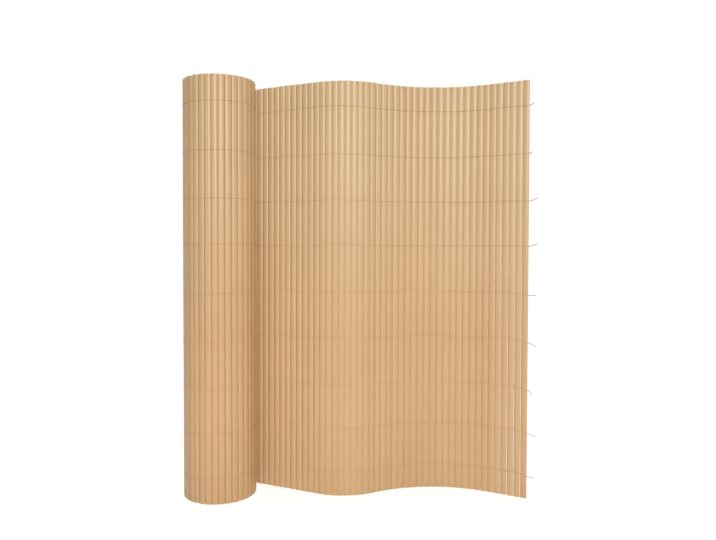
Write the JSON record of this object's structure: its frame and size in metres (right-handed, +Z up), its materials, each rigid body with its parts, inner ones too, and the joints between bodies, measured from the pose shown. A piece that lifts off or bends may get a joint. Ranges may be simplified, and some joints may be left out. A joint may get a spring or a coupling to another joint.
{
  "type": "pvc slat screening mat",
  "caption": "Screening mat of upright hollow slats held by level tie cords, standing on its slat ends, partly rolled up and partly pulled out in a wave.",
  "frame": {"origin": "middle of the bounding box at floor level, where the slat ends stand", "axes": "+Z up along the slats, +X from the roll to the free end, -Y the side that the pulled-out front faces"},
  "size_m": [0.759, 0.16, 0.9],
  "materials": {
    "slat": "satin bamboo-coloured PVC",
    "tie_cord": "grey-brown nylon strand"
  },
  "bodies": {
    "root": {"rolled_slats": "slat", "slat_01": "slat", "slat_02": "slat", "slat_03": "slat", "slat_04": "slat", "slat_05": "slat", "slat_06": "slat", "slat_07": "slat", "slat_08": "slat", "slat_09": "slat", "slat_10": "slat", "slat_11": "slat", "slat_12": "slat", "slat_13": "slat", "slat_14": "slat", "slat_15": "slat", "slat_16": "slat", "slat_17": "slat", "slat_18": "slat", "slat_19": "slat", "slat_20": "slat", "slat_21": "slat", "slat_22": "slat", "slat_23": "slat", "slat_24": "slat", "slat_25": "slat", "slat_26": "slat", "slat_27": "slat", "slat_28": "slat", "slat_29": "slat", "slat_30": "slat", "slat_31": "slat", "slat_32": "slat", "slat_33": "slat", "slat_34": "slat", "slat_35": "slat", "slat_36": "slat", "slat_37": "slat", "slat_38": "slat", "slat_39": "slat", "slat_40": "slat", "slat_41": "slat", "slat_42": "slat", "slat_43": "slat", "slat_44": "slat", "slat_45": "slat", "slat_46": "slat", "slat_47": "slat", "tie_cord_1": "tie_cord", "tie_cord_2": "tie_cord", "tie_cord_3": "tie_cord", "tie_cord_4": "tie_cord", "tie_cord_5": "tie_cord", "tie_cord_6": "tie_cord", "tie_cord_7": "tie_cord", "tie_cord_8": "tie_cord", "tie_cord_9": "tie_cord"}
  },
  "joints": []
}
